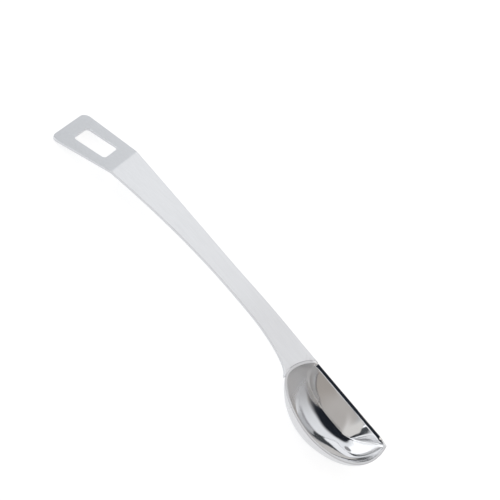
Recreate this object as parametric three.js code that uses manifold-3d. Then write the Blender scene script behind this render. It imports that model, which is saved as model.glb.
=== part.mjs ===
// Tea measuring spoon: a half-moon bowl with a pouring lip, butt-welded to an arched strap
// handle whose far end is bent down into a slotted hanging tab.
// Millimetres, +Z up, +X from the tab to the lip. The spoon lies on its bowl and its tab.
import * as THREE from 'three';
import { mergeVertices } from 'three/addons/utils/BufferGeometryUtils.js';
import Module from 'manifold-3d';

// Both pieces are pressed from the same sheet
const SHEET = 1;

// Bowl in plan, measured inside from the corner where the straight edge meets the handle
const BOWL_LENGTH = 39.4;
const BOWL_WIDTH = 28.2;
const BOWL_DEPTH = 12.6; // to the full curve of the floor, before its foot is pressed flat
const EDGE_DROP = 1.05; // height of the bevel along the top of the straight wall
const EDGE_LAND = 0.12; // flat left outside that bevel
const CORNER_START = 1; // where the rounded heel corner leaves the straight wall
const HEEL_REACH = 6.3; // how far the rim bulges back past the corner
const HEEL_SIDE = 15; // distance of that bulge from the straight edge
const BELLY_STATION = 14; // where the rim is furthest from the straight edge
const SHOULDER_REACH = 11.6; // how far the rim runs on from there before it turns to the lip
const LIP_RUN = 17.3; // length over which the lip runs to the tip
const LIP_BULGE = 1.55; // how far the lip bulges forwards over that length
const LIP_EDGE = 1; // sheet left in front of the inside at the tip
const TURN_STATION = 35; // from here the straight wall turns in to round off the tip
const TIP_TURN = 0.8; // by this much
const DEEPEST_STATION = 23; // where the straight wall is deepest
const RAMP_FOOT = 31.2; // where the level line of the floor would meet the lip's ramp
const HEEL_FILLET = 5; // between the floor and the straight wall, inside, at the heel
const CREASE_RADIUS = 0.5; // the same in the middle
const LIP_FILLET = 2.5; // the same at the lip
const FOOT_FLAT = 0.5; // how far the lowest part is pressed to a flat foot, outside only

// Fullness of the bowl's curves: 2 is an ellipse, less is leaner
const WALL_HEEL_FULLNESS = 2.5;
const FLOOR_HEEL_FULLNESS = 1.4;
const FLOOR_SIDE_FULLNESS = 2.32;
const FLOOR_LIP_FULLNESS = 2.1;
const FLOOR_FALL = 0.18; // share of the floor that falls evenly towards the straight wall

// Shares: of the rim's length, and of the reach that a curve spends on leaving straight
const HEEL_SHARE = 0.18; // the floor is leanest up to here
const FULL_SHARE = 0.46; // fullest here
const SHOULDER_SHARE = 0.64; // and leaner again from here
const LIP_SHARE = 0.8; // where the rim starts to close towards the tip
const CREASE_SHARE = 0.3; // the crease is sharpest from here
const RAMP_SHARE = 0.72; // to here
const CORNER_SHARE = 0.26;
const SIDE_SHARE = 0.43;
const BACK_SHARE = 0.48;
const BELLY_SHARE = 0.52;
const FILLET_SHARE = 0.3; // most of the depth or width that a fillet or bevel takes

// Handle, measured from the same corner towards the tab
const AXIS_OFFSET = 6.15; // middle line of the handle from the straight edge
const NECK_STATION = 12; // from here on the edge runs straight into the bowl's
const NECK_PROUD = 0.4; // and stands this far proud of it
const NECK_FLAT = 7; // level stretch beside the bowl
const CREST_STATION = 38;
const CREST_HEIGHT = 1;
const ARCH_RADIUS = 570;
const WAIST_STATION = 47;
const WAIST_WIDTH = 10.6;
const BEND_STATION = 103.4;
const BEND_WIDTH = 17.7;
const BEND_RADIUS = 2.4; // on the upper face
const BLADE_TAPER = 1.72; // how late the blade widens between waist and bend
const FLARE_START = 30; // from here the left edge sweeps out to wrap the bowl's heel
const FLARE_WIDTH = 7;

// Hanging tab
const TAB_LENGTH = 25.7; // from the bend to the end
const TAB_END_WIDTH = 22.4;
const TAB_CORNER = 3;
const SLOT_LENGTH = 14.1;
const SLOT_WIDTH = 9.2;
const SLOT_CORNER = 1.4;
const SLOT_FROM_END = 5.8;

// Weld under the joint of bowl and handle
const SEAM_GAP = 0.3; // clearance between the bowl, the handle and the weld
const WELD_LEG = 1.2;
const WELD_CROWN = 0.12;
const WELD_ROOM = 1.2; // bowl wall left below the weld where it starts
const WELD_LENGTH = 8.5; // along the rim

// Fineness of the facets
const RIM_STEPS = 64;
const FLOOR_STEPS = 20;
const ROUND_STEPS = 4;
const WALL_STEPS = 3;
const TOUCH_STEPS = 8; // rounds in which the fillet finds where it touches the floor
const ARCH_STEPS = 28;
const FLARE_STEPS = 12;
const WELD_STEPS = 14;
const CORNER_STEPS = 6;
const TAB_STEPS = 3;
const CUT_ABOVE = 3; // how far cutting bodies stand above the rim

const STAND_HEIGHT = BOWL_DEPTH + SHEET - FOOT_FLAT;

const polishedSteel = new THREE.MeshStandardMaterial({ color: 0xc9cbce, metalness: 1, roughness: 0.05 });
const satinSteel = new THREE.MeshStandardMaterial({ color: 0xd9dbde, metalness: 1, roughness: 0.35 });
const weldSteel = new THREE.MeshStandardMaterial({ color: 0xb9b8b4, metalness: 1, roughness: 0.45 });

const wasm = await Module();
wasm.setup();

const { clamp, lerp, smoothstep } = THREE.MathUtils;

// Solids and geometries

function weldedGeometry(geometry) {
  geometry.deleteAttribute('normal');
  geometry.deleteAttribute('uv');
  const merged = mergeVertices(geometry, 1e-4);
  const index = merged.index.array;
  const kept = [];
  for (let i = 0; i < index.length; i += 3) {
    const [a, b, c] = index.slice(i, i + 3);
    if (a !== b && b !== c && c !== a) kept.push(a, b, c);
  }
  merged.setIndex(kept);
  return merged;
}

function toSolid(geometry) {
  const merged = weldedGeometry(geometry);
  return new wasm.Manifold(new wasm.Mesh({
    numProp: 3,
    vertProperties: Float32Array.from(merged.attributes.position.array),
    triVerts: Uint32Array.from(merged.index.array),
  }));
}

function toGeometry(solid) {
  const mesh = solid.getMesh();
  const geometry = new THREE.BufferGeometry();
  geometry.setAttribute('position', new THREE.BufferAttribute(mesh.vertProperties, 3));
  geometry.setIndex(new THREE.BufferAttribute(mesh.triVerts, 1));
  geometry.computeVertexNormals();
  return geometry;
}

// Closed body through a row of closed sections with equally many points each. Sections run
// anticlockwise when seen from the end of the row.
function loft(sections) {
  const count = sections[0].length;
  const triangles = [];
  for (let i = 0; i + 1 < sections.length; i++) {
    for (let j = 0; j < count; j++) {
      const k = (j + 1) % count;
      const [a, b] = [sections[i][j], sections[i][k]];
      const [c, d] = [sections[i + 1][k], sections[i + 1][j]];
      triangles.push(a, b, c, a, c, d);
    }
  }
  const first = sections[0];
  const last = sections[sections.length - 1];
  for (let j = 1; j + 1 < count; j++) {
    triangles.push(first[0], first[j + 1], first[j]);
    triangles.push(last[0], last[j], last[j + 1]);
  }
  return new THREE.BufferGeometry().setFromPoints(triangles);
}

// Bowl: its rim in plan, and lofted half-moon bodies that follow it

const wallLine = -SHEET;

const rim = new THREE.Path();
rim.moveTo(CORNER_START, wallLine);
rim.bezierCurveTo(
  lerp(CORNER_START, -HEEL_REACH, CORNER_SHARE), wallLine,
  -HEEL_REACH, lerp(-HEEL_SIDE, wallLine, SIDE_SHARE),
  -HEEL_REACH, -HEEL_SIDE,
);
rim.bezierCurveTo(
  -HEEL_REACH, lerp(-HEEL_SIDE, -BOWL_WIDTH, BACK_SHARE),
  lerp(BELLY_STATION, -HEEL_REACH, BELLY_SHARE), -BOWL_WIDTH,
  BELLY_STATION, -BOWL_WIDTH,
);
rim.bezierCurveTo(
  BELLY_STATION + SHOULDER_REACH, -BOWL_WIDTH,
  BOWL_LENGTH + LIP_BULGE, wallLine - TIP_TURN - LIP_RUN,
  BOWL_LENGTH, wallLine - TIP_TURN,
);
rim.arcLengthDivisions = 800;
const rimLength = rim.getLength();

function rimOutward(u) {
  const along = rim.getTangentAt(u);
  return new THREE.Vector2(along.y, -along.x);
}

const tipStation = (grow) => BOWL_LENGTH + LIP_EDGE * grow / SHEET;

// Rim point a share u of the way round, moved outwards by grow. Towards the tip the rim
// closes onto the straight wall, with the lip's own edge in front of it.
function rimPoint(u, grow) {
  const point = rim.getPointAt(u).addScaledVector(rimOutward(u), grow);
  const end = rim.getPointAt(1).addScaledVector(rimOutward(1), grow);
  const tip = new THREE.Vector2(tipStation(grow), wallLine + grow - TIP_TURN);
  return point.addScaledVector(tip.sub(end), smoothstep(u, LIP_SHARE, 1));
}

// Foot of the straight wall a share u of the way along: down from the heel corner, then level
// and up the lip's ramp to the tip
function creasePoint(u, grow) {
  const depth = BOWL_DEPTH + grow;
  const crease = new THREE.Vector2();
  if (u < 0.5) {
    const bow = 2 / WALL_HEEL_FULLNESS;
    crease.x = lerp(DEEPEST_STATION, CORNER_START, Math.cos(Math.PI * u) ** bow);
    crease.y = -depth * Math.sin(Math.PI * u) ** bow;
  } else {
    const foot = new THREE.Vector2(RAMP_FOOT, -depth);
    const tip = new THREE.Vector2(tipStation(grow), 0);
    const ramp = new THREE.CubicBezierCurve(new THREE.Vector2(DEEPEST_STATION, -depth), foot, foot, tip);
    ramp.getPoint(2 * u - 1, crease);
  }
  const turn = clamp((crease.x - TURN_STATION) / (tipStation(grow) - TURN_STATION), 0, 1) ** 2;
  return new THREE.Vector3(crease.x, wallLine + grow - TIP_TURN * turn, crease.y);
}

function creaseRadius(u) {
  const heel = lerp(HEEL_FILLET, CREASE_RADIUS, smoothstep(u, 0, CREASE_SHARE));
  return lerp(heel, LIP_FILLET, smoothstep(u, RAMP_SHARE, 1));
}

function floorFullness(u) {
  const side = lerp(FLOOR_HEEL_FULLNESS, FLOOR_SIDE_FULLNESS, smoothstep(u, HEEL_SHARE, FULL_SHARE));
  return lerp(side, FLOOR_LIP_FULLNESS, smoothstep(u, FULL_SHARE, SHOULDER_SHARE));
}

// Share of the floor's section that falls evenly towards the straight wall
function floorFall(u) {
  return FLOOR_FALL * smoothstep(u, HEEL_SHARE, FULL_SHARE) * (1 - smoothstep(u, SHOULDER_SHARE, 1));
}

// Depth of the floor, as a share of the crease's, where a share left of the width is still ahead
const floorDepth = (left, full, fall) => lerp((1 - left ** full) ** (1 / full), 1 - left, fall);

function floorSlope(left, full, fall) {
  return lerp((1 - left ** full) ** (1 / full - 1) * left ** (full - 1), 1, fall);
}

// Section of the bowl from the curved rim over the floor and up the straight wall. grow moves
// it outwards, top is the height where it closes, bevel is the height of the bevel on the
// straight edge and base is a level below which the floor is flat.
function bowlSection(u, { grow, top, bevel, base }) {
  const edge = rimPoint(u, grow);
  const crease = creasePoint(u, grow);
  const span = new THREE.Vector2(crease.x - edge.x, crease.y - edge.y);
  const width = span.length();
  span.normalize();
  const depth = -crease.z;
  const fillet = Math.min(creaseRadius(u) + grow, FILLET_SHARE * width, FILLET_SHARE * depth);
  const drop = Math.min(bevel, FILLET_SHARE * depth);
  const points = [new THREE.Vector3(edge.x, edge.y, top)];
  const addFloor = (inwards, z) => points.push(
    new THREE.Vector3(edge.x + span.x * inwards, edge.y + span.y * inwards, Math.max(z, base)),
  );
  const full = floorFullness(u);
  const fall = floorFall(u);
  let start = 0;
  let touch = 0;
  for (let i = 0; i < TOUCH_STEPS && width > 0; i++) {
    touch = fillet / width * (1 - Math.sin(start));
    start = -Math.atan(floorSlope(touch, full, fall) * depth / width);
  }
  const floorEnd = Math.asin(touch ** (full / 2));
  for (let i = 0; i < FLOOR_STEPS; i++) {
    const left = Math.sin(lerp(Math.PI / 2, floorEnd, i / FLOOR_STEPS)) ** (2 / full);
    addFloor(width * (1 - left), -depth * floorDepth(left, full, fall));
  }
  const hub = fillet * Math.cos(start) - depth * floorDepth(touch, full, fall);
  for (let i = 0; i <= ROUND_STEPS; i++) {
    const angle = lerp(start, Math.PI / 2, i / ROUND_STEPS);
    addFloor(width - fillet * (1 - Math.sin(angle)), hub - fillet * Math.cos(angle));
  }
  for (let i = 1; i < WALL_STEPS; i++) {
    points.push(new THREE.Vector3(crease.x, crease.y, lerp(hub, -drop, i / WALL_STEPS)));
  }
  const brow = crease.y + drop * (SHEET - EDGE_LAND) / EDGE_DROP;
  points.push(new THREE.Vector3(crease.x, crease.y, -drop));
  points.push(new THREE.Vector3(crease.x, brow, 0));
  points.push(new THREE.Vector3(crease.x, brow, top));
  return points;
}

function bowlBody(shape) {
  const sections = [];
  for (let i = 0; i <= RIM_STEPS; i++) sections.push(bowlSection(i / RIM_STEPS, shape));
  return toSolid(loft(sections));
}

function bowl() {
  const outside = bowlBody({ grow: SHEET, top: 0, bevel: 0, base: -STAND_HEIGHT });
  const inside = bowlBody({ grow: 0, top: CUT_ABOVE, bevel: EDGE_DROP, base: -BOWL_DEPTH });
  return toGeometry(outside.subtract(inside));
}

// Handle: a blank with its own side edges, bent to the arch and the tab

const archTop = (x) => CREST_HEIGHT - ARCH_RADIUS + Math.sqrt(ARCH_RADIUS ** 2 - (x + CREST_STATION) ** 2);

function archStation(x) {
  if (x < -CREST_STATION) return { x, z: archTop(x), slope: Math.asin((-CREST_STATION - x) / ARCH_RADIUS) };
  const rise = smoothstep(-x, NECK_FLAT, CREST_STATION);
  const step = 0.01;
  const next = smoothstep(-x + step, NECK_FLAT, CREST_STATION);
  return { x, z: CREST_HEIGHT * rise, slope: -Math.atan(CREST_HEIGHT * (next - rise) / step) };
}

const bend = archStation(-BEND_STATION);
const tabDrop = STAND_HEIGHT + bend.z;
const tabAngle = Math.asin(tabDrop / Math.hypot(TAB_LENGTH, SHEET)) - Math.atan2(SHEET, TAB_LENGTH);

// Point on the upper face of the tab, a distance from the bend, raised by lift
function tabPoint(distance, y, lift) {
  const x = bend.x - distance * Math.cos(tabAngle) - lift * Math.sin(tabAngle);
  const z = bend.z - distance * Math.sin(tabAngle) + lift * Math.cos(tabAngle);
  return new THREE.Vector3(x, y, z);
}

function halfWidth(x) {
  const blade = clamp((-x - WAIST_STATION) / (BEND_STATION - WAIST_STATION), 0, 1) ** BLADE_TAPER;
  return lerp(WAIST_WIDTH, BEND_WIDTH, blade) / 2;
}

function tabHalfWidth(distance) {
  const straight = lerp(BEND_WIDTH, TAB_END_WIDTH, distance / TAB_LENGTH) / 2;
  const intoCorner = clamp(TAB_CORNER - TAB_LENGTH + distance, 0, TAB_CORNER);
  return straight - TAB_CORNER + Math.sqrt(TAB_CORNER ** 2 - intoCorner ** 2);
}

function rightEdge(x) {
  const waist = -AXIS_OFFSET + halfWidth(x);
  return lerp(waist, NECK_PROUD, smoothstep(x, -WAIST_STATION, -NECK_STATION));
}

// The flare ends beside the furthest point of the bowl's heel
const flareLength = FLARE_START - HEEL_REACH - SHEET;

function leftEdge(x) {
  const flare = clamp((x + FLARE_START) / flareLength, 0, 1);
  return -AXIS_OFFSET - halfWidth(x) - FLARE_WIDTH * (1 - Math.sqrt(1 - flare ** 2));
}

function strapSection(station, left, right) {
  const lean = new THREE.Vector3(Math.sin(station.slope), 0, -Math.cos(station.slope)).multiplyScalar(SHEET);
  const topLeft = new THREE.Vector3(station.x, left, station.z);
  const topRight = new THREE.Vector3(station.x, right, station.z);
  return [topLeft, topLeft.clone().add(lean), topRight.clone().add(lean), topRight];
}

function tabSections() {
  const sections = [];
  const bendTurn = tabAngle - bend.slope;
  const bendReach = BEND_RADIUS * Math.tan(bendTurn / 2);
  const distances = [];
  for (let i = 0; i <= CORNER_STEPS; i++) {
    distances.push(TAB_LENGTH - TAB_CORNER * (1 - Math.cos((Math.PI / 2) * (i / CORNER_STEPS))));
  }
  for (let i = TAB_STEPS - 1; i > 0; i--) distances.push((TAB_LENGTH - TAB_CORNER) * (i / TAB_STEPS));
  for (const distance of distances) {
    const { x, z } = tabPoint(distance, 0, 0);
    const half = tabHalfWidth(distance);
    sections.push(strapSection({ x, z, slope: tabAngle }, -AXIS_OFFSET - half, -AXIS_OFFSET + half));
  }
  const start = tabPoint(bendReach, 0, 0);
  const centre = tabPoint(bendReach, 0, -BEND_RADIUS);
  for (let i = 0; i <= ROUND_STEPS; i++) {
    const slope = lerp(tabAngle, bend.slope, i / ROUND_STEPS);
    const x = centre.x - BEND_RADIUS * Math.sin(slope);
    const z = centre.z + BEND_RADIUS * Math.cos(slope);
    const half = lerp(tabHalfWidth(bendReach), halfWidth(bend.x + bendReach), (x - start.x) / (2 * bendReach));
    sections.push(strapSection({ x, z, slope }, -AXIS_OFFSET - half, -AXIS_OFFSET + half));
  }
  return sections;
}

function bladeSections() {
  const stations = [];
  const first = -BEND_STATION + 2 * BEND_RADIUS;
  for (let i = 0; i < ARCH_STEPS; i++) stations.push(lerp(first, -FLARE_START, i / ARCH_STEPS));
  for (let i = 0; i <= FLARE_STEPS; i++) {
    stations.push(-FLARE_START + flareLength * Math.sin((Math.PI / 2) * (i / FLARE_STEPS)));
  }
  stations.push((flareLength - FLARE_START) / 2, -SEAM_GAP);
  return stations.map((x) => strapSection(archStation(x), leftEdge(x), rightEdge(x)));
}

function slotCutter() {
  const [along, across] = [SLOT_LENGTH / 2, SLOT_WIDTH / 2];
  const outline = new THREE.Shape();
  outline.absarc(along - SLOT_CORNER, across - SLOT_CORNER, SLOT_CORNER, 0, Math.PI / 2);
  outline.absarc(SLOT_CORNER - along, across - SLOT_CORNER, SLOT_CORNER, Math.PI / 2, Math.PI);
  outline.absarc(SLOT_CORNER - along, SLOT_CORNER - across, SLOT_CORNER, Math.PI, 1.5 * Math.PI);
  outline.absarc(along - SLOT_CORNER, SLOT_CORNER - across, SLOT_CORNER, 1.5 * Math.PI, 2 * Math.PI);
  const punch = new THREE.ExtrudeGeometry(outline, {
    depth: SHEET + 2 * CUT_ABOVE,
    bevelEnabled: false,
    curveSegments: 5,
  });
  punch.translate(0, 0, -SHEET - CUT_ABOVE);
  punch.rotateY(-tabAngle);
  const middle = tabPoint(TAB_LENGTH - SLOT_FROM_END - SLOT_LENGTH / 2, -AXIS_OFFSET, 0);
  return toSolid(punch.translate(middle.x, middle.y, middle.z));
}

function handle() {
  const blank = toSolid(loft([...tabSections(), ...bladeSections()]));
  const heelCut = bowlBody({ grow: SHEET + SEAM_GAP, top: CUT_ABOVE, bevel: 0, base: -STAND_HEIGHT });
  return toGeometry(blank.subtract(heelCut).subtract(slotCutter()));
}

// Weld: a fillet bead in the corner between the bowl's heel and the underside of the handle

function bowlSideAt(u, z) {
  const grow = SHEET + SEAM_GAP;
  const edge = rimPoint(u, grow);
  const crease = creasePoint(u, grow);
  const fullness = floorFullness(u);
  const share = 1 - (1 - (z / crease.z) ** fullness) ** (1 / fullness);
  return new THREE.Vector3(lerp(edge.x, crease.x, share), lerp(edge.y, crease.y, share), z);
}

// Share of the way round at which the straight wall's foot first is that deep
function shareAtDepth(depth) {
  return Math.asin((depth / BOWL_DEPTH) ** (WALL_HEEL_FULLNESS / 2)) / Math.PI;
}

function weldSeam() {
  const upper = -SHEET - SEAM_GAP;
  const lower = upper - WELD_LEG;
  const start = shareAtDepth(WELD_ROOM - lower);
  const sections = [];
  for (let i = 0; i <= WELD_STEPS; i++) {
    const u = start + WELD_LENGTH / rimLength * (i / WELD_STEPS);
    const { x, y } = rimOutward(u);
    const outward = new THREE.Vector3(x, y, 0);
    const root = bowlSideAt(u, upper);
    const toe = bowlSideAt(u, lower);
    const brink = root.clone().addScaledVector(outward, WELD_LEG);
    const crown = toe.clone().lerp(brink, 0.5).addScaledVector(outward, WELD_CROWN);
    crown.z -= WELD_CROWN;
    sections.push([root, brink, crown, toe]);
  }
  return toGeometry(toSolid(loft(sections)));
}

function piece(name, geometry, material) {
  const mesh = new THREE.Mesh(geometry, material);
  mesh.name = name;
  return mesh;
}

const spoon = new THREE.Group();
spoon.add(piece('bowl', bowl(), polishedSteel));
spoon.add(piece('handle', handle(), satinSteel));
spoon.add(piece('weld_seam', weldSeam(), weldSteel));

// The origin is under the middle of the spoon, on the surface that it lies on
const extent = new THREE.Box3().setFromObject(spoon);
const middle = extent.getCenter(new THREE.Vector3());
spoon.position.set(-middle.x, -middle.y, -extent.min.z);

export default spoon;
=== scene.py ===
"""Tea measuring spoon: fine steel surfaces, finishes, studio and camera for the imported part.

Sizes are in metres, in the part's own frame: +X from the hanging tab to the pouring lip, +Z up.
"""

import math

import bmesh
import bpy
import numpy as np
from bpy.props import FloatProperty, FloatVectorProperty, PointerProperty
from mathutils import Matrix, Vector


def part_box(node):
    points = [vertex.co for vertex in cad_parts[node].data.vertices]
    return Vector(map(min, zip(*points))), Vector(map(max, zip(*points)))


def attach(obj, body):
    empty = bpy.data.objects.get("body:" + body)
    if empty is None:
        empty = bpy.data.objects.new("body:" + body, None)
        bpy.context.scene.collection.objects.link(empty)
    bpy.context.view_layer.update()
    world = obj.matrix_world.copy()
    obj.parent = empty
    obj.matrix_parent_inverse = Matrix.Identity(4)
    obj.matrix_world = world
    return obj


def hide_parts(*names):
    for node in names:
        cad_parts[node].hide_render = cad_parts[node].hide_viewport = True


bl_info = {
    "name": "Tea Measuring Spoon",
    "version": (1, 0, 0),
    "blender": (4, 5, 0),
    "location": "View3D > Sidebar > Spoon",
    "description": "Builds a polished half-moon tea measure with a satin strap handle",
    "category": "Object",
}

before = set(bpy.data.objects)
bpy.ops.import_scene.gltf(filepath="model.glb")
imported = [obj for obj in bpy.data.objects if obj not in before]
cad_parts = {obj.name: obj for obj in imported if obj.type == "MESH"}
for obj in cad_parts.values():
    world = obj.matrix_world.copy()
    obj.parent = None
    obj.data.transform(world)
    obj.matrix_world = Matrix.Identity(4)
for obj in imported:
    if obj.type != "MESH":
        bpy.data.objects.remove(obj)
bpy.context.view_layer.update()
BODY = "root"
BOWL_LOW, BOWL_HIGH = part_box("bowl")
MM = 0.001
DEGREES = 180 / math.pi

# Shares of the rim's length, and of the reach that a curve spends on leaving straight
HEEL_SHARE = 0.18
FULL_SHARE = 0.46
SHOULDER_SHARE = 0.64
LIP_SHARE = 0.8
CREASE_SHARE = 0.3
RAMP_SHARE = 0.72
CORNER_SHARE = 0.26
SIDE_SHARE = 0.43
BACK_SHARE = 0.48
BELLY_SHARE = 0.52
FILLET_SHARE = 0.3
WRAP_SHARE = 0.3
EASE_SHARE = 0.45

# Fullness of the bowl's curves, where 2 is an ellipse and less is leaner, and the floor's even fall
WALL_HEEL_FULLNESS = 2.5
FLOOR_HEEL_FULLNESS = 1.4
FLOOR_SIDE_FULLNESS = 2.32
FLOOR_LIP_FULLNESS = 2.1
FLOOR_FALL = 0.18

# Fineness of the meshes
CURVE_STEPS = 2000
RIM_STEPS = 300
RIM_BUNCHING = 0.85
FLOOR_STEPS = 56
FILLET_STEPS = 14
WALL_STEPS = 10
EDGE_STEPS = 4
TOUCH_STEPS = 8
HEEL_STEPS = 120
ARC_STEPS = 12
TAB_STEPS = 8
BLADE_STEPS = 41
FLARE_STEPS = 23
FLARE_SWEEP = 1.5
NECK_STEPS = 13
BEND_STEPS = 8
SLOT_STEPS = 8
BLADE_PITCH = 2.5 * MM
CLOSEST = 0.02 * MM
BEAD_STEPS = 96
BEAD_ROUND_STEPS = 8
RIPPLES = 11

# Camera: where it stands, and the directions to its right and behind it
CAMERA_PLACE = (-0.042, -0.34603, 0.33059)
CAMERA_RIGHT = (0.64476, 0.45905, 0.61119)
CAMERA_BACK = (-0.07618, -0.75702, 0.64894)

# Floor as the steel mirrors it: how distance counts along each axis, and where it starts and ends to darken
FLOOR_DRAWN = (0.45, 1, 1)
FLOOR_FADE = (0.035, 0.2)

# Zones of the room in degrees, by azimuth from the camera's side and by height.
# Two values are where a change starts and ends, three are from, to and the softness of both borders.
SWEEP_TURN = (5, 42)
CEILING_TURN, CEILING_FOOT = (-50, -15), (27, 33)
CANOPY_SIDE, CANOPY_UP = (-60, 8, 10), (30, 66, 5)
WALL_SIDE, WALL_FOOT, WALL_HEAD = (29, 75, 6), (24, 28), (55, 70)
FAR_TURN, FAR_END, FAR_FOOT = (-167, -153), (-140, -128), (5, 12)
PANEL_REAR, PANEL_UP, PANEL_TURN = (-18, 42, 5), (15, 58, 5), (9, 15)
BOX_MIDDLE, BOX_REACH, BOX_FOOT = (-75, 20), (52, 36), (0, 6)
BRINK_SIDE, BRINK_LEAN, BRINK_FOOT = -33, 0.386, (20, 23)
HOOD_END, HOOD_FOOT = (-55, -35), (15, 21)
STRIP_SIDE, STRIP_UP = (-7.5, 2.2, 1.2), (21.5, 47, 2)
GAP_SIDE, GAP_LOW, GAP_TOP = (-44, 56, 4), 25, 36
STAND_MIDDLE, STAND_REACH, STAND_LEAN = (-19, 21.9), (8, 2.8), 0.17
TABLE_SIDE, TABLE_TOP = (11, 25, 5), (15.5, 18)


def length(name, value, text):
    """A size in metres that a user may change."""
    return FloatProperty(name=name, description=text, default=value * MM, unit="LENGTH", subtype="DISTANCE")


def colour(name, value, text):
    """A colour or a light that a user may change."""
    return FloatVectorProperty(
        name=name, description=text, default=value, subtype="COLOR", size=3, min=0, max=4)


def factor(name, value, text):
    """A share from 0 to 1 that a user may change."""
    return FloatProperty(name=name, description=text, default=value, min=0, max=1, subtype="FACTOR")


class SpoonSheet(bpy.types.PropertyGroup):
    thickness: length("Thickness", 1, "Thickness of the steel sheet of bowl and handle")
    edge_round: length("Edge Round", 0.14, "Radius that the cut edges are eased to")
    seam_gap: length("Seam Gap", 0.06, "Clearance between bowl, handle and weld")


class SpoonBowl(bpy.types.PropertyGroup):
    length: length("Length", 39.4, "Inside length along the straight wall")
    width: length("Width", 28.2, "Inside width from the straight edge to the belly")
    depth: length("Depth", 12.6, "Depth of the full floor curve at the straight wall")
    edge_drop: length("Edge Drop", 1.05, "Height of the bevel on the straight edge")
    edge_land: length("Edge Land", 0.12, "Flat left outside that bevel")
    corner_start: length("Corner Start", -0.3, "Where the heel corner leaves the straight wall")
    heel_reach: length("Heel Reach", 6.3, "How far the rim bulges back past the corner")
    heel_side: length("Heel Side", 15, "Distance of that bulge from the straight edge")
    belly_station: length("Belly Station", 14, "Where the rim is furthest from the straight edge")
    shoulder_reach: length("Shoulder Reach", 11.6, "How far the rim runs on before it turns to the lip")
    lip_run: length("Lip Run", 17.3, "Length over which the lip runs to the tip")
    lip_bulge: length("Lip Bulge", 1.55, "How far the lip bulges forwards over that length")
    lip_edge: length("Lip Edge", 1, "Sheet left in front of the inside at the tip")
    turn_station: length("Turn Station", 35, "Where the straight wall turns in to round off the tip")
    tip_turn: length("Tip Turn", 0.8, "How far it turns in")
    deepest_station: length("Deepest Station", 23, "Where the straight wall is deepest")
    ramp_foot: length("Ramp Foot", 31.2, "Where the floor's level line would meet the lip's ramp")
    heel_fillet: length("Heel Fillet", 2.2, "Radius between floor and straight wall at the heel")
    crease_radius: length("Crease Radius", 0.28, "The same radius in the middle")
    lip_fillet: length("Lip Fillet", 0.8, "The same radius at the lip")
    foot_flat: length("Foot Flat", 0.5, "How far the lowest part is pressed to a flat foot, outside only")


class SpoonHandle(bpy.types.PropertyGroup):
    axis_offset: length("Axis Offset", 6.15, "Middle line of the handle from the straight edge")
    neck_station: length("Neck Station", 12, "Where the edge runs straight into the bowl's")
    neck_proud: length("Neck Proud", 0.4, "How far it stands proud of the bowl's edge")
    neck_flat: length("Neck Flat", 7, "Level stretch beside the bowl")
    crest_station: length("Crest Station", 38, "Where the arch is highest")
    crest_height: length("Crest Height", 1, "Height of the arch above the rim")
    arch_radius: length("Arch Radius", 570, "Radius of the arch towards the tab")
    waist_station: length("Waist Station", 47, "Where the handle is narrowest")
    waist_width: length("Waist Width", 10.6, "Width there")
    bend_station: length("Bend Station", 103.4, "Where the tab bends down")
    bend_width: length("Bend Width", 17.7, "Width at the bend")
    bend_radius: length("Bend Radius", 2.4, "Radius of the bend on the upper face")
    flare_start: length("Flare Start", 30, "Where the left edge starts to sweep out")
    flare_width: length("Flare Width", 7, "How far it sweeps out round the heel")
    blade_taper: FloatProperty(name="Blade Taper", description="How late the blade widens", default=1.72)


class SpoonTab(bpy.types.PropertyGroup):
    length: length("Length", 25.7, "From the bend to the end")
    end_width: length("End Width", 22.4, "Width at the end")
    corner: length("Corner", 3, "Radius of the end's corners")
    slot_length: length("Slot Length", 14.1, "Length of the hanging slot")
    slot_width: length("Slot Width", 9.2, "Width of the hanging slot")
    slot_corner: length("Slot Corner", 1.4, "Radius of the slot's corners")
    slot_from_end: length("Slot From End", 5.8, "Metal left between the slot and the end")


class SpoonWeld(bpy.types.PropertyGroup):
    leg: length("Leg", 1.2, "Leg of the fillet bead")
    crown: length("Crown", 0.12, "How far the bead is crowned")
    room: length("Room", 1.2, "Bowl wall left below the bead where it starts")
    run: length("Run", 8.5, "Length of the bead along the rim")
    ripple: length("Ripple", 0.05, "Height of the ripples along the bead")


class SpoonFinish(bpy.types.PropertyGroup):
    mirror: colour("Mirror", (0.78, 0.78, 0.785), "Reflection colour of the polished bowl")
    cut_edge: colour("Cut Edge", (0.6, 0.6, 0.61), "Reflection colour of the bowl's cut edge")
    satin: colour("Satin", (0.71, 0.715, 0.73), "Reflection colour of the satin handle")
    weld: colour("Weld", (0.5, 0.485, 0.465), "Reflection colour of the weld")
    mirror_roughness: factor("Mirror Roughness", 0.035, "Haze of the polish")
    heel_roughness: factor("Heel Roughness", 0.4, "Haze added where the polish ends at the heel")
    satin_roughness: factor("Satin Roughness", 0.34, "Spread of the satin")


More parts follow.
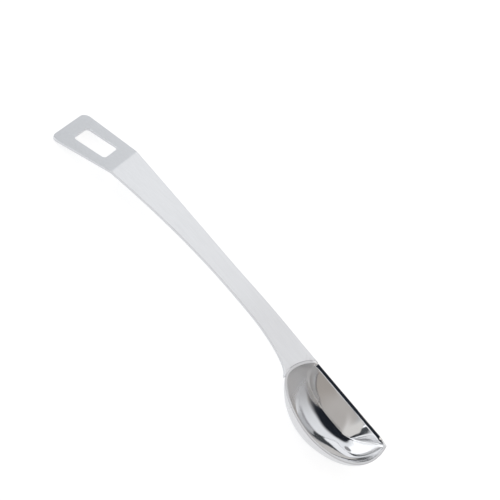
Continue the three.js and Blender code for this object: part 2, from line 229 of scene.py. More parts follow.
class SpoonStudio(bpy.types.PropertyGroup):
    floor: colour("Floor", (0.4, 0.4, 0.4), "Colour of the floor")
    floor_glow: factor("Floor Glow", 0.74, "Light of the floor itself")
    floor_near: colour("Floor Near", (0.84, 0.85, 0.87), "Mirrored light of the floor beside the spoon")
    floor_edge: colour("Floor Edge", (0.25, 0.25, 0.26), "The same far from the spoon")
    sweep: colour("Sweep", (1.25, 1.28, 1.32), "Light of the white sweep at table height")
    right_sweep: colour("Right Sweep", (0.67, 0.67, 0.68), "The same towards the right")
    ceiling: colour("Ceiling", (0.7, 0.67, 0.64), "Light of the ceiling")
    left_ceiling: colour("Left Ceiling", (0.7, 0.72, 0.735), "The same on the left")
    canopy: colour("Canopy", (1.05, 1.03, 1.0), "Light of the paler ceiling over the camera")
    wall: colour("Wall", (0.56, 0.52, 0.48), "Light of the brown wall on the right")
    back_panel: colour("Back Panel", (1.1, 1.11, 1.12), "Light of the panel behind the spoon")
    panel_end: colour("Panel End", (0.96, 0.96, 0.97), "The same at its right end")
    far_wall: colour("Far Wall", (1.5, 1.52, 1.54), "Light of the wall on the far left")
    far_corner: colour("Far Corner", (0.88, 0.9, 0.92), "The same beside the softbox")
    softbox: colour("Softbox", (1.75, 1.78, 1.82), "Light of the round softbox on the left")
    hood: colour("Hood", (0.11, 0.12, 0.13), "Dark hood of the softbox")
    gap: colour("Gap", (0.02, 0.024, 0.033), "Dark gap round the camera")
    gap_end: colour("Gap End", (0.22, 0.22, 0.23), "The same at its right end")
    stand: colour("Stand", (0.45, 0.45, 0.46), "Stand under the camera")
    table: colour("Table", (0.5, 0.5, 0.52), "Edge of the table")
    floor_size: length("Floor Size", 1500, "Radius of the floor")
    lens: FloatProperty(
        name="Lens", description="Focal length on a 36 mm sensor", default=93.6, unit="CAMERA")


GROUPS = {
    "spoon_sheet": SpoonSheet,
    "spoon_bowl": SpoonBowl,
    "spoon_handle": SpoonHandle,
    "spoon_tab": SpoonTab,
    "spoon_weld": SpoonWeld,
    "spoon_finish": SpoonFinish,
    "spoon_studio": SpoonStudio,
}


# Curves

def lerp(a, b, t):
    return a + (b - a) * t


def smoothstep(x, low, high):
    t = np.clip((x - low) / (high - low), 0, 1)
    return t * t * (3 - 2 * t)


def ease_corner(points, corner, radius):
    """Replaces one corner of a closed section by an eased one."""
    here = points[corner]
    before = points[corner - 1] - here
    after = points[(corner + 1) % len(points)] - here
    reach = min(radius, EASE_SHARE * np.linalg.norm(before), EASE_SHARE * np.linalg.norm(after))
    start = here + before / max(np.linalg.norm(before), 1e-12) * reach
    end = here + after / max(np.linalg.norm(after), 1e-12) * reach
    shares = np.linspace(0, 1, EDGE_STEPS)[:, None]
    return (1 - shares) ** 2 * start + 2 * shares * (1 - shares) * here + shares ** 2 * end


class Rim:
    """The bowl's inside rim in plan, with the sections that hang from it."""

    def __init__(self, scene):
        self.bowl = scene.spoon_bowl
        self.sheet = scene.spoon_sheet.thickness
        bowl = self.bowl
        self.wall = -self.sheet
        self.stand = bowl.depth + self.sheet - bowl.foot_flat
        belly = (bowl.belly_station, -bowl.width)
        heel = (-bowl.heel_reach, -bowl.heel_side)
        curves = [
            [
                (bowl.corner_start, self.wall),
                (lerp(bowl.corner_start, heel[0], CORNER_SHARE), self.wall),
                (heel[0], lerp(heel[1], self.wall, SIDE_SHARE)),
                heel,
            ],
            [
                heel,
                (heel[0], lerp(heel[1], belly[1], BACK_SHARE)),
                (lerp(belly[0], heel[0], BELLY_SHARE), belly[1]),
                belly,
            ],
            [
                belly,
                (belly[0] + bowl.shoulder_reach, belly[1]),
                (bowl.length + bowl.lip_bulge, self.wall - bowl.tip_turn - bowl.lip_run),
                (bowl.length, self.wall - bowl.tip_turn),
            ],
        ]
        t = np.linspace(0, 1, CURVE_STEPS + 1)[:, None]
        points, alongs = [], []
        for a, b, c, d in (np.array(curve) for curve in curves):
            points.append((1 - t) ** 3 * a + 3 * t * (1 - t) ** 2 * b + 3 * t ** 2 * (1 - t) * c + t ** 3 * d)
            alongs.append((1 - t) ** 2 * (b - a) + 2 * t * (1 - t) * (c - b) + t ** 2 * (d - c))
        self.points = np.vstack(points)
        self.along = np.vstack(alongs)
        self.along /= np.linalg.norm(self.along, axis=1)[:, None]
        steps = np.linalg.norm(np.diff(self.points, axis=0), axis=1)
        self.run = np.concatenate([[0], np.cumsum(steps)])
        self.length = self.run[-1]

    def at(self, u, grow):
        """Rim point a share u of the way round, moved outwards by grow."""
        run = u * self.length
        point = np.array([np.interp(run, self.run, self.points[:, i]) for i in range(2)])
        return point + self.outward(u) * grow

    def outward(self, u):
        run = u * self.length
        along = np.array([np.interp(run, self.run, self.along[:, i]) for i in range(2)])
        along /= np.linalg.norm(along)
        return np.array([along[1], -along[0]])

    def tip(self, grow):
        bowl = self.bowl
        return np.array([bowl.length + bowl.lip_edge * grow / self.sheet, self.wall + grow - bowl.tip_turn])

    def edge(self, u, grow):
        """The same, with the rim closing onto the straight wall at the tip."""
        return self.at(u, grow) + (self.tip(grow) - self.at(1, grow)) * smoothstep(u, LIP_SHARE, 1)

    def crease(self, u, grow):
        """Foot of the straight wall: down from the heel corner, then level and up the lip's ramp."""
        bowl = self.bowl
        tip = self.tip(grow)[0]
        if u < 0.5:
            bow = 2 / WALL_HEEL_FULLNESS
            x = lerp(bowl.deepest_station, bowl.corner_start, math.cos(math.pi * u) ** bow)
            sink = math.sin(math.pi * u) ** bow
        else:
            t = 2 * u - 1
            low, foot, high = (1 - t) ** 3, 3 * t * (1 - t), t ** 3
            x = low * bowl.deepest_station + foot * bowl.ramp_foot + high * tip
            sink = low + foot
        turn = min(max((x - bowl.turn_station) / (tip - bowl.turn_station), 0), 1) ** 2
        return np.array([x, self.wall + grow - bowl.tip_turn * turn, -(bowl.depth + grow) * sink])

    def fillet(self, u):
        """Radius between floor and straight wall."""
        bowl = self.bowl
        heel = lerp(bowl.heel_fillet, bowl.crease_radius, smoothstep(u, 0, CREASE_SHARE))
        return lerp(heel, bowl.lip_fillet, smoothstep(u, RAMP_SHARE, 1))

    def fullness(self, u):
        """Fullness of the floor's section."""
        side = lerp(FLOOR_HEEL_FULLNESS, FLOOR_SIDE_FULLNESS, smoothstep(u, HEEL_SHARE, FULL_SHARE))
        return lerp(side, FLOOR_LIP_FULLNESS, smoothstep(u, FULL_SHARE, SHOULDER_SHARE))

    def fall(self, u):
        """Share of the floor's section that falls evenly towards the straight wall."""
        side = smoothstep(u, HEEL_SHARE, FULL_SHARE) * (1 - smoothstep(u, SHOULDER_SHARE, 1))
        return FLOOR_FALL * float(side)

    def skin(self, u, grow, base, bevel):
        """Section from the curved rim over the floor and up the straight wall to its bevel."""
        edge = self.edge(u, grow)
        crease = self.crease(u, grow)
        span = crease[:2] - edge
        width = float(np.linalg.norm(span))
        span = span / max(width, 1e-12)
        depth = -crease[2]
        fillet = min(self.fillet(u) + grow, FILLET_SHARE * width, FILLET_SHARE * depth)
        drop = min(bevel, FILLET_SHARE * depth)
        full, fall = self.fullness(u), self.fall(u)
        start = 0
        for _ in range(TOUCH_STEPS):
            left = fillet / width * (1 - math.sin(start))
            steep = fall + (1 - fall) * (1 - left ** full) ** (1 / full - 1) * left ** (full - 1)
            start = -math.atan(steep * depth / width)
        floor_end = math.asin(left ** (full / 2))
        angle = lerp(math.pi / 2, floor_end, np.arange(FLOOR_STEPS) / FLOOR_STEPS)
        turn = lerp(start, math.pi / 2, np.arange(FILLET_STEPS + 1) / FILLET_STEPS)
        share = 1 - np.sin(angle) ** (2 / full)
        sink = lerp(np.maximum(np.cos(angle), 0) ** (2 / full), share, fall)
        foot = -depth * lerp((1 - left ** full) ** (1 / full), 1 - left, fall)
        inwards = np.concatenate([width * share, width - fillet * (1 - np.sin(turn))])
        height = np.concatenate([-depth * sink, foot + fillet * (math.cos(start) - np.cos(turn))])
        floor = np.column_stack([edge + span * inwards[:, None], np.maximum(height, base)])
        rise = lerp(height[-1], -drop, np.arange(1, WALL_STEPS + 1) / WALL_STEPS)
        wall = np.column_stack([np.full(WALL_STEPS, crease[0]), np.full(WALL_STEPS, crease[1]), rise])
        return np.vstack([floor, wall]), drop

    def section(self, u, edge_round):
        """Closed section of the bowl's sheet with eased edges."""
        bowl = self.bowl
        outside, _ = self.skin(u, self.sheet, -self.stand, 0)
        inside, drop = self.skin(u, 0, -math.inf, bowl.edge_drop)
        brow = inside[-1] + np.array([0, drop * (self.sheet - bowl.edge_land) / bowl.edge_drop, drop])
        loop = np.vstack([outside, brow[None], inside[::-1]])
        count = len(outside)
        # Outer rim, both sides of the edge's land, foot of its bevel and inner rim
        corners = {0: 1, count - 1: 0.6, count: 1, count + 1: 1.5, len(loop) - 1: 1}
        eased = []
        for i, point in enumerate(loop):
            eased.append(ease_corner(loop, i, corners[i] * edge_round) if i in corners else point[None])
        return np.vstack(eased)


# Meshes

def origin(scene):
    """Where the corner between straight edge and handle lies in the part's frame."""
    heel = scene.spoon_bowl.heel_reach + scene.spoon_sheet.thickness
    return Vector((BOWL_LOW.x + heel, BOWL_HIGH.y, BOWL_HIGH.z))


def loft(sections):
    """Vertices and faces of a closed body through closed sections."""
    count = len(sections[0])
    vertices = np.vstack(sections)
    faces = []
    for i in range(len(sections) - 1):
        for j in range(count):
            k = (j + 1) % count
            faces.append((i * count + j, i * count + k, (i + 1) * count + k, (i + 1) * count + j))
    last = (len(sections) - 1) * count
    faces.append(tuple(reversed(range(count))))
    faces.append(tuple(range(last, last + count)))
    return vertices, faces


def add_piece(context, name, bm, node, material):
    """Makes a piece that stands for a CAD node and rides on the spoon."""
    bmesh.ops.remove_doubles(bm, verts=bm.verts, dist=1e-6)
    bmesh.ops.dissolve_degenerate(bm, edges=bm.edges, dist=1e-7)
    bmesh.ops.recalc_face_normals(bm, faces=bm.faces)
    bmesh.ops.translate(bm, verts=bm.verts, vec=origin(context.scene))
    mesh = bpy.data.meshes.new(name)
    bm.to_mesh(mesh)
    bm.free()
    mesh.shade_smooth()
    mesh.materials.append(material)
    piece = bpy.data.objects.new(name, mesh)
    context.scene.collection.objects.link(piece)
    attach(piece, BODY)
    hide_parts(node)
    return piece


def mesh_from(vertices, faces):
    bm = bmesh.new()
    verts = [bm.verts.new(v) for v in vertices]
    for face in faces:
        bm.faces.new([verts[i] for i in face])
    return bm


# Handle

class Strap:
    """The handle's blank, its edges in plan and its bends."""

    def __init__(self, scene):
        self.handle = scene.spoon_handle
        self.tab = scene.spoon_tab
        self.sheet = scene.spoon_sheet.thickness
        self.rim = Rim(scene)
        self.gap = scene.spoon_sheet.seam_gap
        handle, tab = self.handle, self.tab
        self.bend_x = -handle.bend_station
        self.bend_z, self.bend_slope = self.arch(self.bend_x)
        drop = self.rim.stand + self.bend_z
        lean = math.atan2(self.sheet, tab.length)
        self.tab_angle = math.asin(drop / math.hypot(tab.length, self.sheet)) - lean
        self.bend_reach = handle.bend_radius * math.tan((self.tab_angle - self.bend_slope) / 2)

    def arch(self, x):
        """Height and slope of the upper face."""
        handle = self.handle
        if x < -handle.crest_station:
            fall = -handle.crest_station - x
            height = handle.crest_height - handle.arch_radius + math.sqrt(handle.arch_radius ** 2 - fall ** 2)
            return height, math.asin(fall / handle.arch_radius)
        step = 1e-5
        rise, ahead = (smoothstep(-x + s, handle.neck_flat, handle.crest_station) for s in (0, step))
        return handle.crest_height * rise, -math.atan(handle.crest_height * (ahead - rise) / step)

    def half_width(self, station):
        handle, tab = self.handle, self.tab
        distance = self.bend_x - station
        if distance > 0:
            into = max(tab.corner - tab.length + distance, 0)
            straight = lerp(handle.bend_width, tab.end_width, distance / tab.length) / 2
            return straight - tab.corner + math.sqrt(max(tab.corner ** 2 - into ** 2, 0))
        blade = (-station - handle.waist_station) / (handle.bend_station - handle.waist_station)
        return lerp(handle.waist_width, handle.bend_width, max(blade, 0) ** handle.blade_taper) / 2

    def right(self, station):
        waist = -self.handle.axis_offset + self.half_width(station)
        neck = float(smoothstep(station, -self.handle.waist_station, -self.handle.neck_station))
        return lerp(waist, self.handle.neck_proud, neck)

    def left(self, station):
        handle = self.handle
        run = handle.flare_start - self.rim.bowl.heel_reach - self.sheet
        flare = min(max((station + handle.flare_start) / run, 0), 1)
        sweep = handle.flare_width * (1 - math.sqrt(1 - flare ** 2))
        return -handle.axis_offset - self.half_width(station) - sweep

    def place(self, station, y, depth):
        """A point of the blank, depth below its upper face, on the bent strap."""
        radius = self.handle.bend_radius
        start = self.bend_x - self.bend_reach
        end = self.bend_x + self.bend_reach
        if station >= end:
            height, slope = self.arch(station)
            x, z = station, height
        else:
            distance = max(self.bend_x - station, self.bend_reach)
            slope = self.tab_angle
            x = self.bend_x - distance * math.cos(slope)
            z = self.bend_z - distance * math.sin(slope)
            if station > start:
                centre = (x + radius * math.sin(slope), z - radius * math.cos(slope))
                slope = lerp(self.tab_angle, self.bend_slope, (station - start) / (end - start))
                x = centre[0] - radius * math.sin(slope)
                z = centre[1] + radius * math.cos(slope)
        return Vector((x + depth * math.sin(slope), y, z - depth * math.cos(slope)))

    def heel(self):
        """The arc that clears the bowl's heel, from the straight edge to the left edge."""
        grow = self.sheet + self.gap
        points = [self.rim.edge(u, grow) for u in np.linspace(0, WRAP_SHARE, HEEL_STEPS + 1)]
        return [p for p in points if p[0] < -self.gap and self.left(p[0]) < p[1] < self.right(p[0])]

    def outline(self):
        """The blank's outline from the tab's end along the left edge and back along the right."""
        tab = self.tab
        end = self.bend_x - tab.length
        start = -self.handle.flare_start
        quarter = np.linspace(0, math.pi / 2, ARC_STEPS + 1)
        corner = [end + tab.corner * (1 - math.cos(a)) for a in quarter]
        heel = self.heel()
        stations = corner + list(np.linspace(corner[-1], self.bend_x, TAB_STEPS + 1)[1:])
        stations += list(np.linspace(self.bend_x, start, BLADE_STEPS + 1)[1:])
        flare = np.sin(np.linspace(0, FLARE_SWEEP, FLARE_STEPS + 1)[1:])
        left = stations + list(start + (heel[-1][0] - start) * flare)
        right = stations + list(np.linspace(start, heel[0][0], NECK_STEPS + 1)[1:])
        points = [(s, self.left(s)) for s in left if s < heel[-1][0] - CLOSEST]
        points += [tuple(p) for p in reversed(heel)]
        points += [(s, self.right(s)) for s in reversed(right)]
        return points

    def slot(self):
        tab = self.tab
        middle = self.bend_x - tab.length + tab.slot_from_end + tab.slot_length / 2
        along, across = tab.slot_length / 2 - tab.slot_corner, tab.slot_width / 2 - tab.slot_corner
        corners = [(along, across), (-along, across), (-along, -across), (along, -across)]
        points = []
        for quarter, (x, y) in enumerate(corners):
            for a in np.linspace(0, math.pi / 2, SLOT_STEPS + 1) + quarter * math.pi / 2:
                points.append((middle + x + tab.slot_corner * math.cos(a),
                               y - self.handle.axis_offset + tab.slot_corner * math.sin(a)))
        return points

    def mesh(self):
        bm = bmesh.new()
        edges = []
        for loop in (self.outline(), self.slot()):
            verts = [bm.verts.new((x, y, 0)) for x, y in loop]
            edges += [bm.edges.new((verts[i - 1], verts[i])) for i in range(len(verts))]
        bmesh.ops.triangle_fill(bm, edges=edges, use_beauty=True)
        taken = sorted({round(v.co.x, 6) for v in bm.verts})
        bend = np.linspace(-self.bend_reach, self.bend_reach, BEND_STEPS + 1)
        stations = list(self.bend_x + bend)
        stations += list(np.arange(self.bend_x + 3 * MM, -2 * MM, BLADE_PITCH))
        for station in stations:
            if min(abs(station - x) for x in taken) > 0.1 * MM:
                geom = [*bm.verts, *bm.edges, *bm.faces]
                bmesh.ops.bisect_plane(
                    bm, geom=geom, plane_co=(station, 0, 0), plane_no=(1, 0, 0), dist=1e-7)
        rim_edges = [e for e in bm.edges if len(e.link_faces) == 1]
        below = {}
        top_faces = list(bm.faces)
        for v in list(bm.verts):
            station, y = v.co.x, v.co.y
            v.co = self.place(station, y, 0)
            below[v] = bm.verts.new(self.place(station, y, self.sheet))
        for face in top_faces:
            bm.faces.new([below[v] for v in reversed(face.verts)])
        for edge in rim_edges:
            a, b = edge.verts
            bm.faces.new((a, b, below[b], below[a]))
        return bm


# Shader maths

class Wire:
    """A socket of a node tree that takes part in Python expressions."""

    def __init__(self, tree, socket=None):
        self.tree, self.socket = tree, socket

    def node(self, kind, settings=None, output=0, **inputs):
        """Adds a node: its settings first, then inputs by name, or by place as i0, i1 and on."""
        made = self.tree.nodes.new(kind)
        for key, value in (settings or {}).items():
            setattr(made, key, value)
        for key, value in inputs.items():
            place = int(key[1:]) if key[0] == "i" and key[1:].isdigit() else key.replace("_", " ").title()
            if isinstance(value, Wire):
                self.tree.links.new(value.socket, made.inputs[place])
            else:
                made.inputs[place].default_value = value
        return Wire(self.tree, made.outputs[output]) if made.outputs else None

    def beside(self, output):
        """Another output of the same node."""
        return Wire(self.tree, self.socket.node.outputs[output])

    def math(self, operation, a, b=0.5):
        return self.node("ShaderNodeMath", {"operation": operation}, i0=a, i1=b)

    def __add__(self, other):
        return self.math("ADD", self, other)

    def __radd__(self, other):
        return self.math("ADD", other, self)

    def __sub__(self, other):
        return self.math("SUBTRACT", self, other)

    def __rsub__(self, other):
        return self.math("SUBTRACT", other, self)

    def __mul__(self, other):
        return self.math("MULTIPLY", self, other)

    def __rmul__(self, other):
        return self.math("MULTIPLY", other, self)

    def __truediv__(self, other):
        return self.math("DIVIDE", self, other)

    def __rtruediv__(self, other):
        return self.math("DIVIDE", other, self)

    def __pow__(self, other):
        return self.math("POWER", self, other)

    def __rpow__(self, other):
        return self.math("POWER", other, self)

    def __neg__(self):
        return self.math("MULTIPLY", self, -1)

    def smooth(self, low, high):
        """0 below low, 1 above high, and smooth between."""
        return self.node("ShaderNodeMapRange", {"interpolation_type": "SMOOTHSTEP"}, i0=self, i1=low, i2=high)

    def band(self, low, high, soft):
        """1 between low and high, with soft borders."""
        return self.smooth(low - soft, low + soft) * (1 - self.smooth(high - soft, high + soft))

    def mix(self, a, b):
        """The colour between a and b that this factor picks."""
        return self.node("ShaderNodeMix", {"data_type": "RGBA"}, 2, i0=self, i6=a, i7=b)


def rgba(values):
    return (*values, 1)


def fresh_tree(owner):
    owner.use_nodes = True
    owner.node_tree.nodes.clear()
    return Wire(owner.node_tree)


def grain(tree, scale, stretch, detail):
    """Noise in the part's own frame, stretched along the spoon."""
    place = tree.node("ShaderNodeTexCoord", output=3)
    drawn = tree.node("ShaderNodeMapping", vector=place, scale=(scale / stretch, scale, scale))
    return tree.node("ShaderNodeTexNoise", vector=drawn, scale=1.0, detail=detail, roughness=0.6)


def steel(name, tint, roughness, relief, depth):
    """A metal whose colour, roughness and fine relief change over its surface."""
    material = bpy.data.materials.new(name)
    tree = fresh_tree(material)
    normal = tree.node("ShaderNodeBump", strength=1.0, distance=depth, height=relief(tree))
    shader = tree.node("ShaderNodeBsdfPrincipled", base_color=tint(tree), metallic=1.0,
                       roughness=roughness(tree), normal=normal)
    tree.node("ShaderNodeOutputMaterial", surface=shader)
    return material


def mirror_steel(scene):
    """Mirror polish with hairline scratches and plain cut edges, hazy where no mop reaches."""
    finish, bowl = scene.spoon_finish, scene.spoon_bowl
    corner = origin(scene)
    dull = rgba(c * 0.97 for c in finish.mirror)

    def place(tree):
        """Millimetres along from the heel corner, in from the straight edge and down from the rim."""
        spot = tree.node("ShaderNodeTexCoord", output=3)
        away = tree.node("ShaderNodeVectorMath", {"operation": "SUBTRACT"}, i0=spot, i1=corner)
        scaled = tree.node("ShaderNodeVectorMath", {"operation": "DIVIDE"}, i0=away, i1=(MM, -MM, -MM))
        split = tree.node("ShaderNodeSeparateXYZ", vector=scaled)
        return split, split.beside(1), split.beside(2)

    def bevel(inwards, down):
        return (1 - inwards.smooth(1.2, 1.7)) * (1 - down.smooth(0.9, 1.6))

    def tint(tree):
        _, inwards, down = place(tree)
        cut = (1 - down.smooth(0.2, 0.4)) * (1 - bevel(inwards, down))
        polish = grain(tree, 60, 1, 3).smooth(0.35, 0.65).mix(dull, rgba(finish.mirror))
        return cut.mix(polish, rgba(finish.cut_edge))

    def roughness(tree):
        along, inwards, down = place(tree)
        dull_heel = 1 - along.smooth(-3, 8)
        back = (bowl.deepest_station / MM - along) / ((bowl.deepest_station - bowl.corner_start) / MM)
        sink = down / (bowl.depth / MM)
        foot = back ** WALL_HEEL_FULLNESS + sink ** WALL_HEEL_FULLNESS
        dull_crease = foot.smooth(0.6, 0.8) * (1 - inwards.smooth(2, 4)) * (1 - along.smooth(10, 15))
        dull_lip = 0.55 * along.smooth(31, 33) * (1 - inwards.smooth(1.6, 2.4))
        haze = tree.math("MAXIMUM", dull_heel, dull_crease) + dull_lip
        haze = finish.heel_roughness * (1 - bevel(inwards, down)) * haze
        scratches = 0.05 * grain(tree, 9000, 60, 2).smooth(0.68, 0.8)
        return finish.mirror_roughness * (0.6 + grain(tree, 140, 2, 4)) + haze + scratches

    return steel("mirror_polished_steel", tint, roughness, lambda tree: grain(tree, 700, 3, 2), 0.0008 * MM)


def satin_steel(scene):
    """Satin brushed along the spoon."""
    finish = scene.spoon_finish
    light = rgba(min(c * 1.03, 1) for c in finish.satin)
    dark = rgba(c * 0.975 for c in finish.satin)
    return steel(
        "satin_brushed_steel",
        lambda tree: grain(tree, 2400, 40, 4).smooth(0.3, 0.7).mix(dark, light),
        lambda tree: finish.satin_roughness * (0.82 + 0.36 * grain(tree, 4500, 60, 3)),
        lambda tree: grain(tree, 5200, 55, 3),
        0.012 * MM,
    )


def weld_steel(scene):
    """Dressed weld with faint straw heat colours."""
    finish = scene.spoon_finish
    straw = rgba((finish.weld[0] * 1.02, finish.weld[1] * 0.93, finish.weld[2] * 0.8))
    return steel(
        "dressed_weld_steel",
        lambda tree: grain(tree, 900, 1, 3).smooth(0.4, 0.7).mix(rgba(finish.weld), straw),
        lambda tree: 0.3 + 0.25 * grain(tree, 1500, 1, 4),
        lambda tree: grain(tree, 2500, 1, 3),
        0.02 * MM,
    )


# Operators

class SPOON_OT_bowl(bpy.types.Operator):
    """Build the polished half-moon bowl with its straight wall and pouring lip"""

    bl_idname = "spoon.bowl"
    bl_label = "Bowl"

    def execute(self, context):
        scene = context.scene
        rim = Rim(scene)
        t = np.linspace(0, 1, RIM_STEPS + 1)
        shares = t - RIM_BUNCHING * np.sin(2 * math.pi * t) / (2 * math.pi)
        sections = [rim.section(u, scene.spoon_sheet.edge_round) for u in shares[1:-1]]
        vertices, faces = loft(sections)
        piece = add_piece(context, "polished_bowl", mesh_from(vertices, faces), "bowl",
                          mirror_steel(scene))
        piece.modifiers.new("face_normals", "WEIGHTED_NORMAL").keep_sharp = True
        return {"FINISHED"}


class SPOON_OT_handle(bpy.types.Operator):
    """Build the satin strap handle with its bent, slotted hanging tab"""

    bl_idname = "spoon.handle"
    bl_label = "Handle"

    def execute(self, context):
        scene = context.scene
        piece = add_piece(context, "satin_handle", Strap(scene).mesh(), "handle",
                          satin_steel(scene))
        bevel = piece.modifiers.new("eased_edges", "BEVEL")
        bevel.width = scene.spoon_sheet.edge_round
        bevel.segments = 3
        bevel.limit_method = "ANGLE"
        bevel.angle_limit = math.radians(50)
        bevel.use_clamp_overlap = False
        piece.modifiers.new("face_normals", "WEIGHTED_NORMAL").keep_sharp = True
        return {"FINISHED"}


class SPOON_OT_weld(bpy.types.Operator):
    """Build the rippled fillet weld under the joint of bowl and handle"""

    bl_idname = "spoon.weld"
    bl_label = "Weld"

    def execute(self, context):
        scene = context.scene
        weld, rim = scene.spoon_weld, Rim(scene)
        grow = rim.sheet + scene.spoon_sheet.seam_gap
        upper = -grow
        lower = upper - weld.leg
        start = math.asin(((weld.room - lower) / rim.bowl.depth) ** (WALL_HEEL_FULLNESS / 2)) / math.pi
        sections = []
        for t in np.linspace(0, 1, BEAD_STEPS + 1):
            u = start + weld.run / rim.length * t
            root, toe = self.side(rim, u, grow, upper), self.side(rim, u, grow, lower)
            outward = np.append(rim.outward(u), 0)
            brink = root + outward * weld.leg
            crown = weld.crown + weld.ripple * (math.cos(2 * math.pi * RIPPLES * t) - 1)
            bead = []
            for s in np.linspace(0, 1, BEAD_ROUND_STEPS + 1):
                lift = 4 * s * (1 - s) * crown
                bead.append(lerp(brink, toe, s) + lift * (outward - np.array([0, 0, 1])))
            sections.append(np.vstack([root[None], bead]))
        vertices, faces = loft(sections)
        add_piece(context, "weld_bead", mesh_from(vertices, faces), "weld_seam",
                  weld_steel(scene))
        return {"FINISHED"}

    def side(self, rim, u, grow, z):
        """Point on the bowl's outside, grown by the gap, at one height."""
        edge, crease, full = rim.edge(u, grow), rim.crease(u, grow), rim.fullness(u)
        share = 1 - (1 - (z / crease[2]) ** full) ** (1 / full)
        return np.append(lerp(edge, crease[:2], share), z)


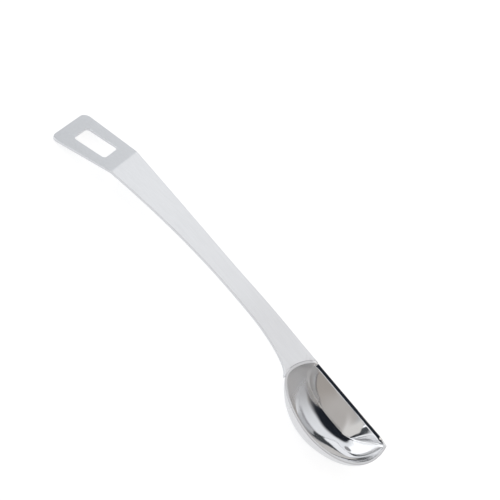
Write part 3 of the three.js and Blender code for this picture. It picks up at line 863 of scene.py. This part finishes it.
class SPOON_OT_stage(bpy.types.Operator):
    """Set up the pale floor, the room that the steel mirrors and the camera"""

    bl_idname = "spoon.stage"
    bl_label = "Stage"

    def execute(self, context):
        scene = context.scene
        studio = scene.spoon_studio
        scene.view_settings.view_transform = "Standard"
        self.floor(context, studio)
        self.room(scene, studio)
        self.camera(scene, studio)
        return {"FINISHED"}

    def floor(self, context, studio):
        bm = bmesh.new()
        bmesh.ops.create_circle(bm, cap_ends=True, segments=96, radius=studio.floor_size)
        mesh = bpy.data.meshes.new("pale_floor")
        bm.to_mesh(mesh)
        bm.free()
        material = bpy.data.materials.new("pale_floor")
        tree = fresh_tree(material)
        matte = tree.node("ShaderNodeBsdfDiffuse", color=rgba(studio.floor))
        place = tree.node("ShaderNodeTexCoord", output=3)
        drawn = tree.node("ShaderNodeVectorMath", {"operation": "MULTIPLY"}, i0=place, i1=FLOOR_DRAWN)
        away = tree.node("ShaderNodeVectorMath", {"operation": "LENGTH"}, 1, i0=drawn)
        mirrored = away.smooth(*FLOOR_FADE).mix(rgba(studio.floor_near), rgba(studio.floor_edge))
        glow_colour = tree.node("ShaderNodeLightPath", output="Is Glossy Ray").mix((1, 1, 1, 1), mirrored)
        glow = tree.node("ShaderNodeEmission", color=glow_colour, strength=studio.floor_glow)
        both = tree.node("ShaderNodeAddShader", i0=matte, i1=glow)
        tree.node("ShaderNodeOutputMaterial", surface=both)
        mesh.materials.append(material)
        floor = bpy.data.objects.new("pale_floor", mesh)
        context.scene.collection.objects.link(floor)

    def room(self, scene, studio):
        """The room that the steel mirrors."""
        world = bpy.data.worlds.new("studio_room")
        scene.world = world
        tree = fresh_tree(world)
        split = tree.node("ShaderNodeSeparateXYZ", vector=tree.node("ShaderNodeTexCoord", output=0))
        up = tree.math("ARCSINE", split.beside(2)) * DEGREES
        side = tree.math("ARCTAN2", split, -split.beside(1)) * DEGREES
        rear = tree.math("ARCTAN2", split, split.beside(1)) * DEGREES
        light = self.walls(studio, side, rear, up)
        light = self.softbox(studio, side, up, light)
        light = self.camera_side(studio, side, up, light)
        seen = tree.node("ShaderNodeLightPath", output="Is Camera Ray").mix(light, (1, 1, 1, 1))
        shader = tree.node("ShaderNodeBackground", color=seen, strength=1.0)
        tree.node("ShaderNodeOutputWorld", surface=shader)

    def walls(self, studio, side, rear, up):
        """White sweep, ceiling, brown wall, far wall and the panel behind the spoon."""
        light = side.smooth(*SWEEP_TURN).mix(rgba(studio.sweep), rgba(studio.right_sweep))
        ceiling = side.smooth(*CEILING_TURN).mix(rgba(studio.left_ceiling), rgba(studio.ceiling))
        light = up.smooth(*CEILING_FOOT).mix(light, ceiling)
        light = (side.band(*CANOPY_SIDE) * up.band(*CANOPY_UP)).mix(light, rgba(studio.canopy))
        wall = side.band(*WALL_SIDE) * up.smooth(*WALL_FOOT) * (1 - up.smooth(*WALL_HEAD))
        light = wall.mix(light, rgba(studio.wall))
        far_wall = side.smooth(*FAR_TURN).mix(rgba(studio.far_wall), rgba(studio.far_corner))
        light = ((1 - side.smooth(*FAR_END)) * up.smooth(*FAR_FOOT)).mix(light, far_wall)
        panel = rear.smooth(*PANEL_TURN).mix(rgba(studio.back_panel), rgba(studio.panel_end))
        return (rear.band(*PANEL_REAR) * up.band(*PANEL_UP)).mix(light, panel)

    def softbox(self, studio, side, up, light):
        """Round softbox in its dark hood, both cut off along a leaning brink with a dark strip."""
        across, rise = (side - BOX_MIDDLE[0]) / BOX_REACH[0], (up - BOX_MIDDLE[1]) / BOX_REACH[1]
        round_box = across * across + rise * rise
        round_hood = across * across + 0.55 * rise * rise
        brink = side - BRINK_SIDE + BRINK_LEAN * up
        beyond = 1 - brink.smooth(-0.8, 0.8) * up.smooth(*BRINK_FOOT)
        hood = (1 - round_hood.smooth(1.45, 1.65)) * (1 - side.smooth(*HOOD_END)) * up.smooth(*HOOD_FOOT)
        light = (hood * beyond).mix(light, rgba(studio.hood))
        box = (1 - round_box.smooth(0.9, 1.06)) * up.smooth(*BOX_FOOT)
        light = (box * beyond).mix(light, rgba(studio.softbox))
        return (brink.band(*STRIP_SIDE) * up.band(*STRIP_UP)).mix(light, rgba(studio.hood))

    def camera_side(self, studio, side, up, light):
        """Dark gap round the camera, its stand and the table's edge below."""
        # The gap's borders rise beside the camera and fall and soften to the right
        top = GAP_TOP + 11 * side.band(8, 19, 4) - 7.5 * side.smooth(26, 40)
        low = GAP_LOW + 2.4 * side.smooth(8, 20) - 5 * side.smooth(30, 50)
        soft = 1.3 + 1.7 * side.smooth(16, 28)
        gap = up.smooth(low - soft, low + soft) * (1 - (up - top).smooth(-1.5, 1.5)) * side.band(*GAP_SIDE)
        light = gap.mix(light, side.smooth(20, 42).mix(rgba(studio.gap), rgba(studio.gap_end)))
        over = (side - STAND_MIDDLE[0]) / STAND_REACH[0]
        under = (up - STAND_LEAN * side - STAND_MIDDLE[1]) / STAND_REACH[1]
        stand = 1 - (over * over + under * under).smooth(0.49, 1.21)
        light = stand.mix(light, rgba(studio.stand))
        return (side.band(*TABLE_SIDE) * (1 - up.smooth(*TABLE_TOP))).mix(light, rgba(studio.table))

    def camera(self, scene, studio):
        data = bpy.data.cameras.new("front_camera")
        data.lens = studio.lens
        data.sensor_width = 36
        data.clip_start, data.clip_end = 0.01, 20
        camera = bpy.data.objects.new("front_camera", data)
        scene.collection.objects.link(camera)
        right = Vector(CAMERA_RIGHT).normalized()
        back = Vector(CAMERA_BACK)
        back = (back - back.dot(right) * right).normalized()
        turn = Matrix((right, back.cross(right), back)).transposed()
        camera.matrix_world = Matrix.Translation(CAMERA_PLACE) @ turn.to_4x4()
        scene.camera = camera


class SPOON_PT_panel(bpy.types.Panel):
    """Lists the spoon's pieces"""

    bl_idname = "SPOON_PT_panel"
    bl_label = "Tea Measuring Spoon"
    bl_space_type = "VIEW_3D"
    bl_region_type = "UI"
    bl_category = "Spoon"

    def draw(self, context):
        for operator in OPERATORS:
            self.layout.operator(operator.bl_idname)
        for name, group in GROUPS.items():
            box = self.layout.box()
            box.label(text=group.__name__)
            for key in group.__annotations__:
                box.prop(getattr(context.scene, name), key)


OPERATORS = (SPOON_OT_bowl, SPOON_OT_handle, SPOON_OT_weld, SPOON_OT_stage)


def register():
    for group in (*GROUPS.values(), *OPERATORS, SPOON_PT_panel):
        bpy.utils.register_class(group)
    for name, group in GROUPS.items():
        setattr(bpy.types.Scene, name, PointerProperty(type=group))


def unregister():
    for name in GROUPS:
        delattr(bpy.types.Scene, name)
    for group in reversed((*GROUPS.values(), *OPERATORS, SPOON_PT_panel)):
        bpy.utils.unregister_class(group)


def main():
    register()
    bpy.ops.spoon.bowl()
    bpy.ops.spoon.handle()
    bpy.ops.spoon.weld()
    bpy.ops.spoon.stage()


if __name__ == "__main__":
    main()
